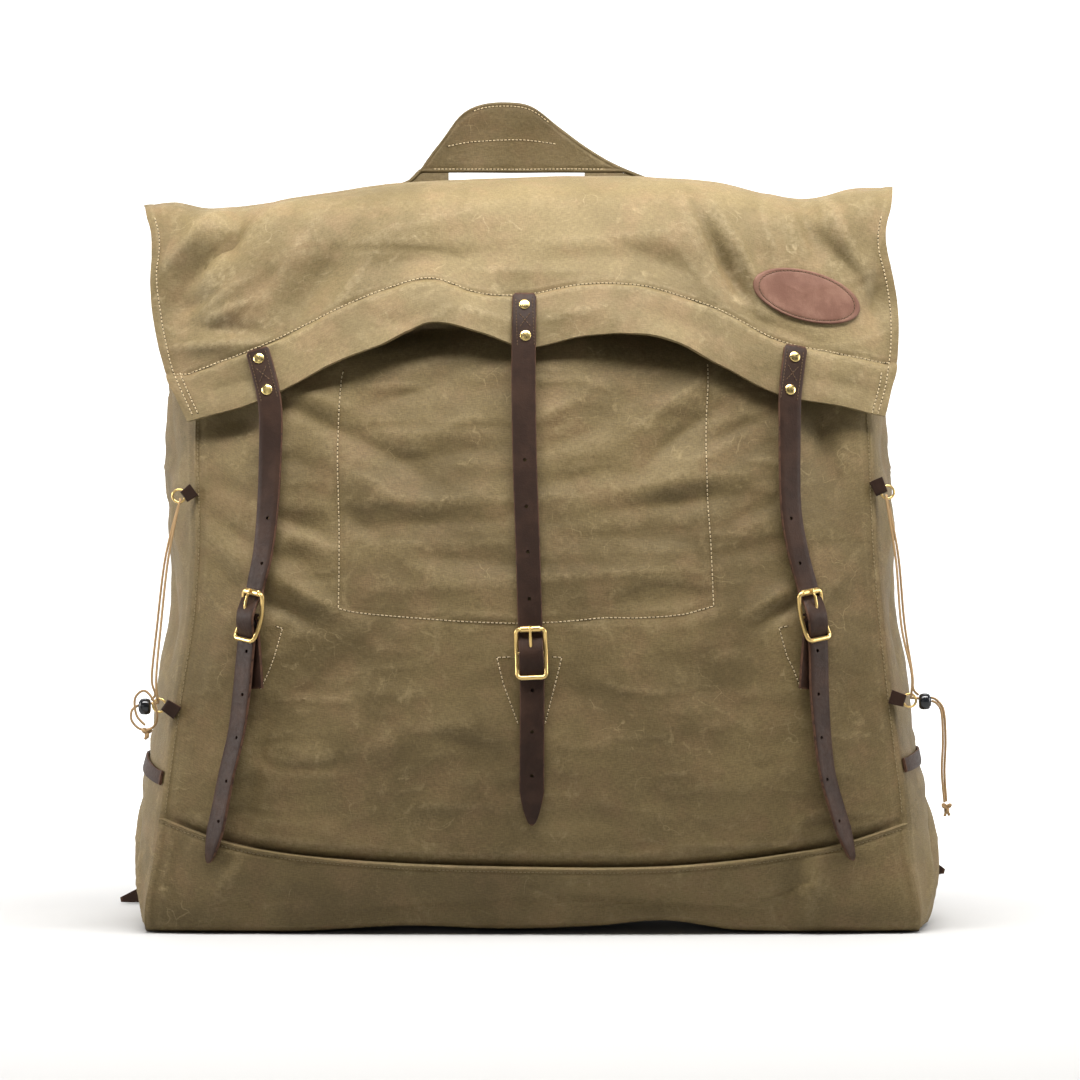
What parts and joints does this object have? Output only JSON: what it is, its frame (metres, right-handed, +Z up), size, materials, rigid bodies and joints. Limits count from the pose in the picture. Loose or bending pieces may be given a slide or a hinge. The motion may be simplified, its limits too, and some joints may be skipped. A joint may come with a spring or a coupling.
{
  "type": "canoe pack",
  "caption": "Large waxed canvas portage pack with a wide eared flap, leather closing straps in brass roller buckles, laced side cords and a canvas haul handle",
  "frame": {"origin": "middle of the pack's box on the surface it stands on, z = 0 at the underside of the base", "axes": "+X to the right seen from the front, +Y from the front towards the back, +Z up"},
  "size_m": [0.6979, 0.3019, 0.6775],
  "materials": {
    "waxed_canvas": "waxed field-tan duck with scuffed creases",
    "strap_leather": "dark brown bridle leather with lighter cut edges",
    "patch_leather": "reddish brown leather, matt",
    "brass": "solid brass, softly polished",
    "cord": "tan waxed cord",
    "black_plastic": "black moulded cord lock"
  },
  "bodies": {
    "root": {"back_panel": "waxed_canvas", "base_panel": "waxed_canvas", "buckle_centre": "brass", "buckle_left": "brass", "buckle_right": "brass", "buckle_tab_centre": "strap_leather", "buckle_tab_left": "strap_leather", "buckle_tab_right": "strap_leather", "cord_knot_left": "cord", "cord_knot_right": "cord", "cord_lock_left": "black_plastic", "cord_lock_right": "black_plastic", "cord_tail_left": "cord", "cord_tail_right_back": "cord", "cord_tail_right_front": "cord", "flap": "waxed_canvas", "flap_patch": "patch_leather", "front_panel": "waxed_canvas", "gusset_left": "waxed_canvas", "gusset_right": "waxed_canvas", "haul_handle": "waxed_canvas", "prong_centre": "brass", "prong_left": "brass", "prong_right": "brass", "ring_lower_left": "brass", "ring_lower_right": "brass", "ring_tab_lower_left": "strap_leather", "ring_tab_lower_right": "strap_leather", "ring_tab_upper_left": "strap_leather", "ring_tab_upper_right": "strap_leather", "ring_upper_left": "brass", "ring_upper_right": "brass", "rivet_centre_1": "brass", "rivet_centre_2": "brass", "rivet_left_1": "brass", "rivet_left_2": "brass", "rivet_right_1": "brass", "rivet_right_2": "brass", "roller_centre": "brass", "roller_left": "brass", "roller_right": "brass", "shoulder_buckle_left": "brass", "shoulder_buckle_right": "brass", "shoulder_strap_left": "strap_leather", "shoulder_strap_right": "strap_leather", "shoulder_yoke": "strap_leather", "side_band_left": "strap_leather", "side_band_right": "strap_leather", "side_cord_left": "cord", "side_cord_right": "cord", "strap_centre": "strap_leather", "strap_left": "strap_leather", "strap_right": "strap_leather", "yoke_rivet_1": "brass", "yoke_rivet_2": "brass", "yoke_rivet_3": "brass", "yoke_rivet_4": "brass"}
  },
  "joints": []
}
